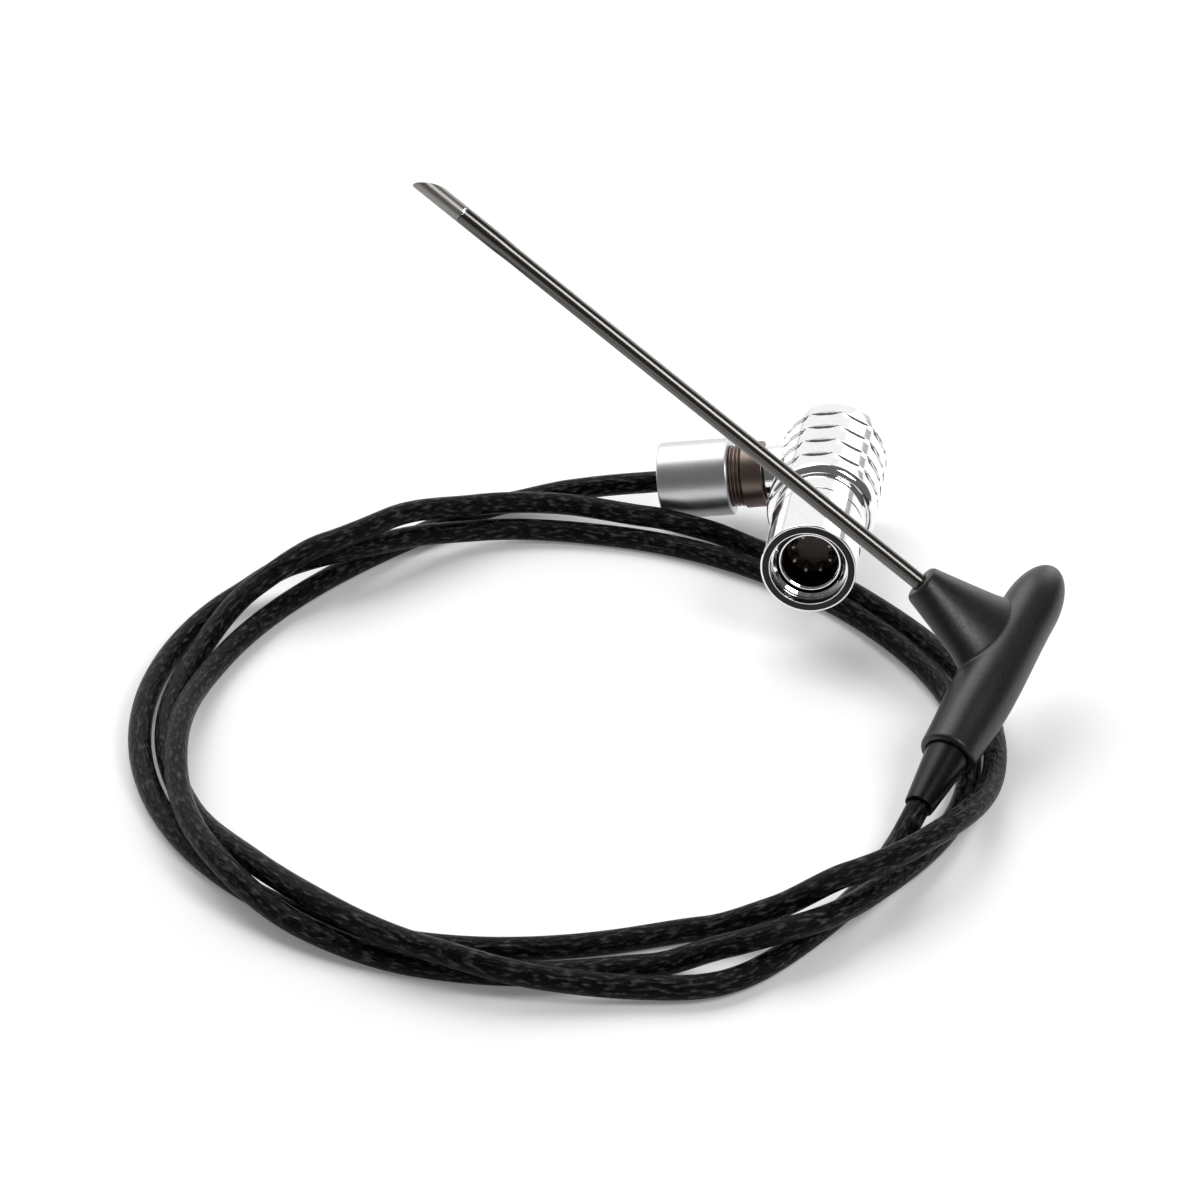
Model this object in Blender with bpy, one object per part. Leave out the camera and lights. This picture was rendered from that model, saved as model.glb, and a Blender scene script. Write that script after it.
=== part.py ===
import math

import bmesh
import bpy
import numpy as np
from mathutils import Matrix, Vector

for old in list(bpy.data.objects):
    bpy.data.objects.remove(old, do_unlink=True)

# Lying pose. Places are measured from a point on the bench under the cable's loop,
# and probe_middle, the middle of the probe's own box, becomes the model's origin.
probe_middle = Vector((0.0340, -0.0560, 0.0642))
grip_foot = Vector((0.0800, -0.0842, 0.0115))
grip_heading = math.radians(62.25)
grip_slope = math.radians(14.9)
needle_lift = math.radians(37.2)
plug_mouth = Vector((0.0504, -0.0230, 0.0239))
plug_heading = math.radians(-98.5)
plug_slope = math.radians(5.8)
outlet_dip = math.radians(9.5)

# Fits
clearance = 0.0003
edge_round = 0.0008

# Grip: a crossbar with a neck at right angles
bar_length = 0.0638
bar_foot_radius = 0.0069
bar_belly_radius = 0.00775
bar_belly_station = 0.0215
bar_crown_radius = 0.0070
bar_crown_station = 0.0485
neck_station = 0.0351
neck_reach = 0.0266
neck_end_radius = 0.0047
neck_root_width = 0.0142
neck_root_thickness = 0.0058
neck_flare = 0.0012
neck_flare_height = 0.0055
lead_cavity_radius = 0.0041
lead_cavity_depth = 0.0420
boot_socket_depth = 0.0090

# Needle, measured along its axis from the crossbar's axis
needle_radius = 0.0020
needle_bore_radius = 0.0016
needle_root = 0.0050
needle_reach = 0.1773
swage_radius = 0.00215
swage_length = 0.0100
swage_taper = 0.0060
tip_length = 0.0130
tip_bevel_angle = math.radians(31.0)
spigot_radius = 0.0013
spigot_length = 0.0040
anchor_radius = 0.0037
anchor_length = 0.0073
anchor_end = 0.0137

# Temperature sensors threaded on one wire inside the needle
wire_radius = 0.0005
bead_length = 0.0040
bead_pitch = 0.0350
bead_count = 4

# Cable, its boot and what holds it in the grip
cable_radius = 0.00275
boot_root_radius = 0.0052
boot_end_radius = 0.00345
boot_length = 0.0160
crimp_length = 0.0055
crimp_wall = 0.00075

# Plug, measured back from its mouth
nose_radius = 0.0117
nose_length = 0.0213
mouth_radius = 0.0094
mouth_depth = 0.0025
mouth_chamfer = 0.0009
nose_bore_radius = 0.0082
shoulder_station = 0.0225
shoulder_thickness = 0.0020
shoulder_bore_radius = 0.0060
core_sleeve_radius = 0.0094
core_bore_radius = 0.0084
core_sleeve_end = 0.0445
core_flange_radius = 0.0105
core_flange_length = 0.0015
coupling_radius = 0.0117
coupling_length = 0.0081
guide_bore_radius = 0.0068
guide_recess = 0.0035
insulator_recess = 0.0115
pin_radius = 0.00065
pin_circle_radius = 0.00485
pin_count = 8
pin_turn = math.radians(19.5)
pin_reach = 0.0034
pin_tail = 0.0020
release_travel = 0.0015

# Grip housing of the plug
housing_radius = 0.0137
housing_rear = 0.0680
housing_front_wall = 0.0030
housing_shoulder = 0.0020
spring_chamber_radius = 0.0109
spring_chamber_end = 0.0450
housing_bore_radius = 0.0096
cap_radius = 0.0103
cap_thickness = 0.0037
flat_count = 10
flat_depth = 0.00062
flat_length = 0.0026
flat_pitch = 0.0082
flat_bands = 4
last_ledge = 0.0629
spring_wire_radius = 0.00042
spring_turns = 4

# Side outlet, measured from the plug's axis
outlet_station = 0.0575
boss_radius = 0.0072
boss_end = 0.0164
collar_radius = 0.0084
collar_end = 0.0221
thread_radius = 0.0074
thread_crest = 0.0079
thread_pitch = 0.0010
thread_end = 0.0305
spigot_bore_radius = 0.0060
nut_radius = 0.0099
nut_start = 0.0254
nut_end = 0.0436
nut_chamfer = 0.0007
collet_radius = 0.0065
collet_nose_radius = 0.0050
collet_length = 0.0078
grommet_radius = 0.0046
grommet_proud = 0.0005
tail_inner_end = 0.0080

# The cable's way over the bench, from the boot to the plug, in millimetres
cable_point_count = 80
cable_route = [
    (67.5, -108.2, 4.3), (59.9, -121.7, 2.8), (40.6, -146.2, 2.8), (25.0, -157.7, 3.3),
    (8.6, -159.2, 3.7), (-12.9, -158.8, 6.1), (-36.8, -153.1, 9.4), (-59.2, -138.7, 9.6),
    (-77.5, -119.9, 8.2), (-95.1, -90.9, 3.1), (-102.6, -62.8, 2.8), (-98.2, -30.8, 3.8),
    (-84.6, -7.5, 9.5), (-68.3, 2.1, 15.4), (-53.2, 13.5, 15.5), (-31.8, 28.1, 10.6),
    (-10.2, 32.6, 8.2), (12.7, 26.9, 7.8), (26.7, 25.1, 5.1), (41.1, 18.4, 2.8),
    (69.4, -8.7, 2.8), (88.7, -41.1, 2.9), (91.8, -79.0, 4.8), (71.8, -119.7, 13.4),
    (54.7, -132.2, 13.9), (37.7, -137.6, 8.3), (23.1, -138.3, 3.6), (2.2, -142.3, 2.8),
    (-28.5, -144.5, 2.8), (-62.0, -135.1, 2.8), (-90.6, -110.9, 3.0), (-107.0, -75.2, 2.9),
    (-106.8, -36.2, 2.8), (-90.5, -4.9, 4.1), (-77.5, 4.0, 7.7), (-64.6, 7.7, 9.6),
    (-50.5, 16.3, 7.8), (-30.6, 25.8, 4.4), (2.6, 25.8, 2.8), (37.8, 11.0, 2.8),
    (68.8, -18.5, 2.8), (85.7, -56.0, 2.8), (83.7, -89.7, 2.8), (60.2, -129.6, 6.6),
    (41.4, -146.2, 9.6), (27.0, -149.2, 7.1), (10.9, -150.6, 2.8), (-10.9, -153.3, 2.8),
    (-39.2, -150.4, 2.8), (-65.5, -139.5, 5.1), (-88.7, -114.9, 9.5), (-98.6, -77.2, 9.1),
    (-91.0, -29.6, 3.6), (-67.7, 5.7, 3.1), (-41.0, 30.5, 2.8), (-23.3, 41.3, 3.2),
    (-7.7, 42.3, 6.4), (3.7, 40.9, 8.8),
]


def finish(name, colour, roughness, metallic=0.0):
    made = bpy.data.materials.new(name)
    made.use_nodes = True
    shader = made.node_tree.nodes["Principled BSDF"]
    shader.inputs["Base Color"].default_value = (*colour, 1.0)
    shader.inputs["Roughness"].default_value = roughness
    shader.inputs["Metallic"].default_value = metallic
    made.diffuse_color = (*colour, 1.0)
    return made


def placed_frame(name, parent, place, x_axis, z_axis):
    """An empty whose local axes point along the given directions."""
    y_axis = z_axis.cross(x_axis)
    turn = Matrix((x_axis, y_axis, z_axis)).transposed()
    frame = bpy.data.objects.new(name, None)
    frame.parent = parent
    frame.location = place
    frame.rotation_euler = turn.to_euler()
    bpy.context.collection.objects.link(frame)
    return frame


def add_object(name, mesh_or_curve, parent, material=None):
    thing = bpy.data.objects.new(name, mesh_or_curve)
    thing.parent = parent
    bpy.context.collection.objects.link(thing)
    if material:
        mesh_or_curve.materials.append(material)
    return thing


def mesh_from(bm, name, sharp_angle=35):
    bmesh.ops.remove_doubles(bm, verts=bm.verts, dist=1e-6)
    bmesh.ops.recalc_face_normals(bm, faces=bm.faces)
    mesh = bpy.data.meshes.new(name)
    bm.to_mesh(mesh)
    bm.free()
    mesh.shade_smooth()
    mesh.set_sharp_from_angle(angle=math.radians(sharp_angle))
    return mesh


def turned(name, outline, parent, material=None, steps=40):
    """Spin an outline of (radius, height) points about local Z. An outline that
    starts and ends on the axis makes a solid, and any other closes into a ring."""
    bm = bmesh.new()
    corners = [bm.verts.new((radius, 0.0, height)) for radius, height in outline]
    edges = [bm.edges.new(pair) for pair in zip(corners, corners[1:])]
    if outline[0][0] > 0 or outline[-1][0] > 0:
        edges.append(bm.edges.new((corners[-1], corners[0])))
    bmesh.ops.spin(bm, geom=corners + edges, cent=(0, 0, 0), axis=(0, 0, 1),
                   angle=2 * math.pi, steps=steps)
    return add_object(name, mesh_from(bm, name), parent, material)


def lofted(name, rings, parent, material=None):
    """Join loops of points, listed from one end to the other, and cap both ends."""
    bm = bmesh.new()
    loops = [[bm.verts.new(point) for point in ring] for ring in rings]
    for lower, upper in zip(loops, loops[1:]):
        for k in range(len(lower)):
            j = (k + 1) % len(lower)
            bm.faces.new((lower[k], lower[j], upper[j], upper[k]))
    bm.faces.new(loops[0])
    bm.faces.new(loops[-1])
    return add_object(name, mesh_from(bm, name), parent, material)


def arc(centre_r, centre_h, radius, start, end, steps, squash=1.0):
    """Points of an arc in an outline; angles in degrees, 0 pointing outward."""
    angles = [math.radians(start + (end - start) * k / steps) for k in range(steps + 1)]
    return [(centre_r + radius * math.cos(a), centre_h + radius * squash * math.sin(a)) for a in angles]


def as_cutter(thing):
    thing.hide_render = True
    thing.display_type = "WIRE"
    return thing


def combine(target, other, operation):
    as_cutter(other)
    step = target.modifiers.new(other.name, "BOOLEAN")
    step.operation = operation
    step.solver = "EXACT"
    step.object = other


def pose_axis(heading, slope):
    """Unit vector at a compass heading and a rise above the bench."""
    level = math.cos(slope)
    return Vector((level * math.cos(heading), level * math.sin(heading), math.sin(slope)))


def side_axis(heading, slope, roll, hand):
    """Unit vector square to the pose axis, rolled up from the level on one hand."""
    along = pose_axis(heading, slope)
    level = Vector((-math.sin(heading), math.cos(heading), 0.0)) * hand
    upright = pose_axis(heading, slope + math.pi / 2)
    return (level * math.cos(roll) + upright * math.sin(roll)).normalized(), along


steel = finish("polished_steel", (0.62, 0.60, 0.58), 0.18, 1.0)
weld_steel = finish("satin_steel", (0.55, 0.54, 0.53), 0.35, 1.0)
chrome = finish("bright_chrome", (0.86, 0.87, 0.88), 0.08, 1.0)
nickel = finish("satin_nickel", (0.70, 0.69, 0.68), 0.32, 1.0)
brass = finish("brass", (0.72, 0.58, 0.30), 0.28, 1.0)
gold = finish("gold_plating", (0.83, 0.66, 0.34), 0.22, 1.0)
grip_rubber = finish("grip_rubber", (0.030, 0.030, 0.031), 0.62)
boot_rubber = finish("boot_rubber", (0.018, 0.018, 0.019), 0.30)
cable_jacket = finish("cable_jacket", (0.022, 0.022, 0.023), 0.42)
insulator_resin = finish("insulator_resin", (0.12, 0.055, 0.030), 0.45)
potting_resin = finish("potting_resin", (0.05, 0.05, 0.055), 0.5)
ceramic = finish("ceramic", (0.80, 0.78, 0.72), 0.5)

bench = bpy.data.objects.new("bench", None)
bench.location = -probe_middle
bpy.context.collection.objects.link(bench)

needle_axis, bar_axis = side_axis(grip_heading, grip_slope, needle_lift, 1)
grip_frame = placed_frame("grip_frame", bench, grip_foot, needle_axis, bar_axis)
neck_frame = placed_frame("neck_frame", grip_frame, Vector((0, 0, neck_station)),
                          Vector((0, 0, -1)), Vector((1, 0, 0)))
outlet_axis, plug_axis = side_axis(plug_heading, plug_slope, -outlet_dip, -1)
plug_frame = placed_frame("plug_frame", bench, plug_mouth, -outlet_axis, plug_axis)
core_frame = placed_frame("core_frame", plug_frame, Vector((0, 0, 0)), Vector((1, 0, 0)), Vector((0, 0, 1)))
outlet_frame = placed_frame("outlet_frame", plug_frame, Vector((0, 0, -outlet_station)),
                            Vector((0, 0, 1)), Vector((-1, 0, 0)))


def eased(start, end, share):
    return start + (end - start) * (1 - math.cos(math.pi * share)) / 2


def crossbar_outline():
    """Foot with a rounded rim, a full belly, a slimmer crown and a domed end."""
    points = [(0.0, 0.0)]
    points += arc(bar_foot_radius - edge_round, edge_round, edge_round, -90, 0, 3)
    for k in range(1, 5):
        station = edge_round + (bar_belly_station - edge_round) * k / 4
        points.append((eased(bar_foot_radius, bar_belly_radius, k / 4), station))
    for k in range(1, 6):
        station = bar_belly_station + (bar_crown_station - bar_belly_station) * k / 5
        points.append((eased(bar_belly_radius, bar_crown_radius, k / 5), station))
    dome_height = bar_length - bar_crown_station
    dome = arc(0.0, bar_crown_station, bar_crown_radius, 10, 90, 7, dome_height / bar_crown_radius)
    points += dome[:-1]
    points.append((0.0, bar_length))
    return points


def neck_rings():
    """Ovals from inside the crossbar to the round end face, flared where they join it."""
    rings = []
    start = bar_belly_radius * 0.3
    steps = 7
    for k in range(steps + 1):
        height = start + (neck_reach - edge_round - start) * k / steps
        share = height / neck_reach
        half_width = neck_root_width + (neck_end_radius - neck_root_width) * share
        half_thickness = neck_root_thickness + (neck_end_radius - neck_root_thickness) * share
        rise = max(0.0, 1 - (height - bar_belly_radius * 0.75) / neck_flare_height)
        flare = neck_flare * min(1.0, rise) ** 2
        rings.append(oval(half_width + flare, half_thickness, height, flare * 0.5))
    for shrink, lift in ((0.3, 0.7), (1.0, 1.0)):
        radius = neck_end_radius - edge_round * shrink
        rings.append(oval(radius, radius, neck_reach - edge_round * (1 - lift), 0.0))
    return rings


def oval(half_x, half_y, height, shift, count=28):
    turns = [2 * math.pi * k / count for k in range(count)]
    return [(shift + half_x * math.cos(a), half_y * math.sin(a), height) for a in turns]


def make_grip():
    body = turned("grip_body", crossbar_outline(), grip_frame, grip_rubber, 32)
    combine(body, lofted("neck_form", neck_rings(), neck_frame), "UNION")
    socket_radius = boot_root_radius + clearance
    cavity = [(0.0, -edge_round), (socket_radius, -edge_round), (socket_radius, boot_socket_depth),
              (lead_cavity_radius, boot_socket_depth), (lead_cavity_radius, lead_cavity_depth),
              (0.0, lead_cavity_depth)]
    combine(body, turned("lead_cavity", cavity, grip_frame), "DIFFERENCE")
    needle_hole = needle_radius + clearance
    pocket = anchor_radius + clearance
    bore = [(0.0, 0.0), (pocket, 0.0), (pocket, anchor_end + clearance), (needle_hole, anchor_end + clearance),
            (needle_hole, neck_reach + edge_round), (0.0, neck_reach + edge_round)]
    combine(body, turned("needle_passage", bore, neck_frame), "DIFFERENCE")


def make_needle():
    seam = needle_reach - tip_length
    swage_start = seam - swage_length
    tube = [(needle_bore_radius, needle_root), (needle_radius, needle_root),
            (needle_radius, swage_start - swage_taper), (swage_radius, swage_start),
            (swage_radius, seam - clearance), (needle_bore_radius, seam - clearance)]
    turned("needle_tube", tube, neck_frame, steel, 32)
    tip = [(0.0, seam - spigot_length), (spigot_radius, seam - spigot_length), (spigot_radius, seam),
           (swage_radius, seam), (swage_radius, needle_reach), (0.0, needle_reach)]
    point = turned("needle_tip", tip, neck_frame, steel, 32)
    combine(point, bevel_block(), "DIFFERENCE")
    anchor = [(needle_radius + clearance, anchor_end - anchor_length),
              (anchor_radius, anchor_end - anchor_length), (anchor_radius, anchor_end),
              (needle_radius + clearance, anchor_end)]
    turned("needle_anchor", anchor, neck_frame, weld_steel, 24)


def bevel_block():
    """A block whose face grinds the tip to a point on its underside."""
    size = 8 * swage_radius
    run = 2 * swage_radius / math.tan(tip_bevel_angle)
    side = [(swage_radius, needle_reach), (-swage_radius, needle_reach - run)]
    slope = Vector((side[1][0] - side[0][0], side[1][1] - side[0][1])).normalized()
    low = Vector(side[0]) - slope * size * 0.2
    high = Vector(side[1]) + slope * size * 0.2
    outline = [low, high, Vector((high.x, high.y + size)), Vector((low.x, low.y + size))]
    rings = [[(p.x, y, p.y) for p in outline] for y in (-size / 2, size / 2)]
    return lofted("bevel_block", rings, neck_frame)


def make_sensors():
    seam = needle_reach - tip_length
    wire_end = seam - spigot_length - clearance
    wire_start = lead_cavity_radius
    wire = [(0.0, wire_start), (wire_radius, wire_start), (wire_radius, wire_end), (0.0, wire_end)]
    turned("sensor_wire", wire, neck_frame, brass, 12)
    inner = wire_radius + clearance
    outer = needle_bore_radius - clearance
    for number in range(bead_count):
        top = wire_end - bead_length / 2 - bead_pitch * number
        bead = [(inner, top - bead_length), (outer, top - bead_length), (outer, top), (inner, top)]
        turned(f"sensor_bead_{number + 1}", bead, neck_frame, ceramic, 12)


def make_lead_in():
    """Boot, held cable end, crimp ring and potted splice along the crossbar."""
    hole = cable_radius + clearance
    root = boot_socket_depth - clearance
    boot = [(hole, -boot_length), (boot_end_radius, -boot_length), (boot_root_radius, 0.0),
            (boot_root_radius, root), (hole, root)]
    turned("bend_boot", boot, grip_frame, boot_rubber, 32)
    splice_start = boot_socket_depth + clearance + crimp_length * 1.8
    tail_end = splice_start - clearance
    tail = [(0.0, -boot_length), (cable_radius, -boot_length), (cable_radius, tail_end), (0.0, tail_end)]
    turned("grip_cable_tail", tail, grip_frame, cable_jacket, 20)
    crimp_outer = hole + crimp_wall
    crimp_end = tail_end
    crimp = [(hole, crimp_end - crimp_length), (crimp_outer, crimp_end - crimp_length),
             (crimp_outer, crimp_end), (hole, crimp_end)]
    turned("cable_crimp", crimp, grip_frame, brass, 24)
    fill = lead_cavity_radius - clearance
    splice_end = lead_cavity_depth - clearance
    splice = [(0.0, splice_start), (fill, splice_start), (fill, splice_end), (0.0, splice_end)]
    turned("splice_potting", splice, grip_frame, potting_resin, 24)


def make_core():
    """Everything that stays in the socket while the grip housing is pulled back."""
    nose_back = -nose_length
    web_back = -(shoulder_station + shoulder_thickness)
    flange_front = -(core_sleeve_end - core_flange_length)
    nose = [(mouth_radius, 0.0), (nose_radius - mouth_chamfer, 0.0), (nose_radius, -mouth_chamfer),
            (nose_radius, nose_back), (core_sleeve_radius, nose_back), (core_sleeve_radius, flange_front),
            (core_flange_radius, flange_front), (core_flange_radius, -core_sleeve_end),
            (core_bore_radius, -core_sleeve_end), (core_bore_radius, web_back),
            (shoulder_bore_radius, web_back), (shoulder_bore_radius, -shoulder_station),
            (nose_bore_radius, -shoulder_station), (nose_bore_radius, -mouth_depth - mouth_chamfer),
            (nose_bore_radius + mouth_chamfer, -mouth_depth), (mouth_radius, -mouth_depth)]
    turned("plug_nose", nose, core_frame, chrome, 36)
    front = -(nose_length + clearance)
    ring_hole = core_sleeve_radius + clearance
    ring_edge = mouth_chamfer * 0.5
    ring = [(ring_hole, front), (coupling_radius - ring_edge, front), (coupling_radius, front - ring_edge),
            (coupling_radius, front - coupling_length + ring_edge),
            (coupling_radius - ring_edge, front - coupling_length), (ring_hole, front - coupling_length)]
    turned("coupling_ring", ring, core_frame, chrome, 36)
    seat = -(shoulder_station - clearance)
    guide_outer = nose_bore_radius - clearance
    bevel = (guide_outer - guide_bore_radius) * 0.35
    guide = [(guide_bore_radius, -guide_recess - bevel), (guide_bore_radius + bevel, -guide_recess),
             (guide_outer - bevel, -guide_recess), (guide_outer, -guide_recess - bevel),
             (guide_outer, seat), (guide_bore_radius, seat)]
    turned("guide_sleeve", guide, core_frame, chrome, 32)
    block_radius = guide_bore_radius - clearance
    block = [(0.0, -insulator_recess), (block_radius, -insulator_recess), (block_radius, seat), (0.0, seat)]
    insulator = turned("contact_insulator", block, core_frame, insulator_resin, 32)
    combine(insulator, pin_holes(), "DIFFERENCE")
    make_pins()
    fill = core_bore_radius - clearance
    fill_front = -(shoulder_station + shoulder_thickness + pin_tail + clearance)
    potting = [(0.0, -core_sleeve_end), (fill, -core_sleeve_end), (fill, fill_front), (0.0, fill_front)]
    turned("core_potting", potting, core_frame, potting_resin, 32)


def pin_place(number):
    angle = pin_turn + 2 * math.pi * number / pin_count
    return pin_circle_radius * math.cos(angle), pin_circle_radius * math.sin(angle)


def pin_holes():
    bm = bmesh.new()
    depth = shoulder_station - insulator_recess
    for number in range(pin_count):
        x, y = pin_place(number)
        middle = Matrix.Translation((x, y, -insulator_recess - depth / 2))
        bmesh.ops.create_cone(bm, cap_ends=True, segments=12, radius1=pin_radius + clearance,
                              radius2=pin_radius + clearance, depth=depth * 1.2, matrix=middle)
    return add_object("pin_holes", mesh_from(bm, "pin_holes"), core_frame)


def make_pins():
    """Domed pins through the insulator, all cut from one mesh."""
    top = -(insulator_recess - pin_reach)
    base = -(shoulder_station + shoulder_thickness + pin_tail)
    outline = [(0.0, base), (pin_radius, base)]
    outline += arc(0.0, top - pin_radius, pin_radius, 0, 80, 3)
    outline.append((0.0, top))
    first = turned("contact_pin_1", outline, core_frame, gold, 10)
    first.location = (*pin_place(0), 0.0)
    for number in range(1, pin_count):
        pin = add_object(f"contact_pin_{number + 1}", first.data, core_frame)
        pin.location = (*pin_place(number), 0.0)


def flat_section(depth, station, radius):
    """Round section with chordal flats cut to a depth; 0 leaves it round."""
    chord = math.acos((housing_radius - flat_depth) / housing_radius)
    marks = [-chord, -chord / 3, chord / 3, chord]
    points = []
    for side in range(flat_count):
        middle = 2 * math.pi * side / flat_count + math.pi / 2
        for mark in marks:
            reach = radius
            if depth > 0:
                reach = min(radius, (radius - depth) / math.cos(mark))
            angle = middle + mark
            points.append((reach * math.cos(angle), reach * math.sin(angle), -station))
    return points


def make_housing():
    """Grip housing with a round shoulder, rows of flats, a side boss and a stepped bore."""
    front = nose_length + clearance + coupling_length + clearance
    rings = []
    for k in range(5):
        angle = math.pi / 2 * k / 4
        station = front + housing_shoulder * (1 - math.cos(angle))
        rings.append(flat_section(0, station, housing_radius - housing_shoulder * (1 - math.sin(angle))))
    for band in reversed(range(flat_bands)):
        ledge = last_ledge - flat_pitch * band
        rings.append(flat_section(0, ledge - flat_length, housing_radius))
        rings.append(flat_section(flat_depth, ledge - flat_length, housing_radius))
        rings.append(flat_section(flat_depth, ledge, housing_radius))
        rings.append(flat_section(0, ledge, housing_radius))
    rings.append(flat_section(0, housing_rear - nut_chamfer, housing_radius))
    rings.append(flat_section(0, housing_rear, housing_radius - nut_chamfer))
    body = lofted("elbow_housing", rings, plug_frame, chrome)
    boss = [(0.0, housing_bore_radius * 0.5), (boss_radius, housing_bore_radius * 0.5),
            (boss_radius, boss_end), (0.0, boss_end)]
    combine(body, turned("outlet_boss", boss, outlet_frame), "UNION")
    sleeve_hole = core_sleeve_radius + clearance
    chamber_front = front + housing_front_wall
    cap_seat = housing_rear - cap_thickness - clearance
    cap_hole = cap_radius + clearance
    bore = [(0.0, -front + edge_round), (sleeve_hole, -front + edge_round), (sleeve_hole, -chamber_front),
            (spring_chamber_radius, -chamber_front), (spring_chamber_radius, -spring_chamber_end),
            (housing_bore_radius, -spring_chamber_end), (housing_bore_radius, -cap_seat),
            (cap_hole, -cap_seat), (cap_hole, -housing_rear - edge_round),
            (0.0, -housing_rear - edge_round)]
    combine(body, turned("housing_bore", bore, plug_frame), "DIFFERENCE")
    side_hole = spigot_bore_radius + clearance
    side = [(0.0, 0.0), (side_hole, 0.0), (side_hole, boss_end + edge_round), (0.0, boss_end + edge_round)]
    combine(body, turned("side_bore", side, outlet_frame), "DIFFERENCE")
    cap = [(0.0, -housing_rear), (cap_radius - nut_chamfer, -housing_rear),
           (cap_radius, -housing_rear + nut_chamfer), (cap_radius, -housing_rear + cap_thickness),
           (0.0, -housing_rear + cap_thickness)]
    turned("rear_cap", cap, plug_frame, chrome, 40)
    make_spring(-chamber_front - clearance)


def make_spring(top):
    """Coil around the core's sleeve, seated on the housing's front wall, clear of
    the core's flange by the release travel."""
    flange_front = -(core_sleeve_end - core_flange_length)
    bottom = flange_front + release_travel + clearance
    mean_radius = core_sleeve_radius + clearance + spring_wire_radius
    coil = bpy.data.curves.new("latch_spring", "CURVE")
    coil.dimensions = "3D"
    coil.bevel_depth = spring_wire_radius
    coil.bevel_resolution = 1
    coil.use_fill_caps = True
    line = coil.splines.new("POLY")
    steps = 12 * spring_turns
    line.points.add(steps)
    rise = (top - bottom) - 2 * spring_wire_radius
    for k in range(steps + 1):
        angle = 2 * math.pi * spring_turns * k / steps
        height = bottom + spring_wire_radius + rise * k / steps
        line.points[k].co = (mean_radius * math.cos(angle), mean_radius * math.sin(angle), height, 1.0)
    add_object("latch_spring", coil, plug_frame, weld_steel)


def make_outlet():
    """Threaded collar, clamp nut, split collet and rubber grommet on the side outlet."""
    hole = cable_radius + clearance
    back = boss_end + clearance
    collar = [(hole, housing_bore_radius), (spigot_bore_radius, housing_bore_radius),
              (spigot_bore_radius, back), (collar_radius, back), (collar_radius, collar_end)]
    thread_start = collar_end + thread_pitch * 0.4
    while thread_start + thread_pitch < nut_start:
        collar += [(thread_radius, thread_start), (thread_crest, thread_start + thread_pitch * 0.35),
                   (thread_crest, thread_start + thread_pitch * 0.65)]
        thread_start += thread_pitch
    collar += [(thread_radius, thread_start), (thread_radius, thread_end), (hole, thread_end)]
    turned("outlet_collar", collar, outlet_frame, nickel, 32)
    cone_start = thread_end + clearance
    cone_end = cone_start + collet_length
    nut_hole = thread_radius + clearance
    cone_wide = collet_radius + clearance
    cone_tight = collet_nose_radius + clearance
    grommet_hole = grommet_radius + clearance
    nut = [(nut_hole, nut_start), (nut_radius - nut_chamfer, nut_start), (nut_radius, nut_start + nut_chamfer),
           (nut_radius, nut_end - nut_chamfer), (nut_radius - nut_chamfer, nut_end),
           (grommet_hole, nut_end), (grommet_hole, cone_end + clearance), (cone_tight, cone_end + clearance),
           (cone_wide, cone_start), (nut_hole, cone_start)]
    turned("clamp_nut", nut, outlet_frame, nickel, 36)
    collet = [(hole, cone_start), (collet_radius, cone_start), (collet_nose_radius, cone_end),
              (hole, cone_end)]
    split = turned("cable_collet", collet, outlet_frame, brass, 32)
    combine(split, collet_slots(cone_start + collet_length * 0.35, cone_end + edge_round), "DIFFERENCE")
    end = nut_end + grommet_proud
    grommet = [(hole, cone_end + clearance), (grommet_radius, cone_end + clearance),
               (grommet_radius, end - edge_round * 0.5), (grommet_radius - edge_round * 0.5, end), (hole, end)]
    turned("cable_grommet", grommet, outlet_frame, boot_rubber, 32)
    tail = [(0.0, tail_inner_end), (cable_radius, tail_inner_end), (cable_radius, end), (0.0, end)]
    turned("plug_cable_tail", tail, outlet_frame, cable_jacket, 20)


def collet_slots(start, end):
    """Two crossed slots that leave four fingers."""
    bm = bmesh.new()
    for turn in (0.0, math.pi / 2):
        size = Matrix.Diagonal((collet_radius * 2.5, edge_round, end - start, 1.0))
        place = Matrix.Translation((0, 0, (start + end) / 2)) @ Matrix.Rotation(turn, 4, "Z")
        bmesh.ops.create_cube(bm, size=1.0, matrix=place @ size)
    return add_object("collet_slots", mesh_from(bm, "collet_slots"), outlet_frame)


def even_slopes(values, spans):
    """Slopes that make a cubic curve bend evenly through every value."""
    count = len(values)
    steps = np.diff(values) / spans
    rows = np.eye(count)
    wanted = np.zeros(count)
    wanted[0], wanted[-1] = steps[0], steps[-1]
    for i in range(1, count - 1):
        rows[i, i - 1:i + 2] = spans[i], 2 * (spans[i - 1] + spans[i]), spans[i - 1]
        wanted[i] = 3 * (spans[i] * steps[i - 1] + spans[i - 1] * steps[i])
    return np.linalg.solve(rows, wanted)


def level_slopes(values, spans):
    """Slopes that never dip below or rise above neighbouring values."""
    steps = np.diff(values) / spans
    slopes = np.zeros(len(values))
    slopes[0], slopes[-1] = steps[0], steps[-1]
    for i in range(1, len(values) - 1):
        if steps[i - 1] * steps[i] > 0:
            slopes[i] = 2 * steps[i - 1] * steps[i] / (steps[i - 1] + steps[i])
    return slopes


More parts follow.
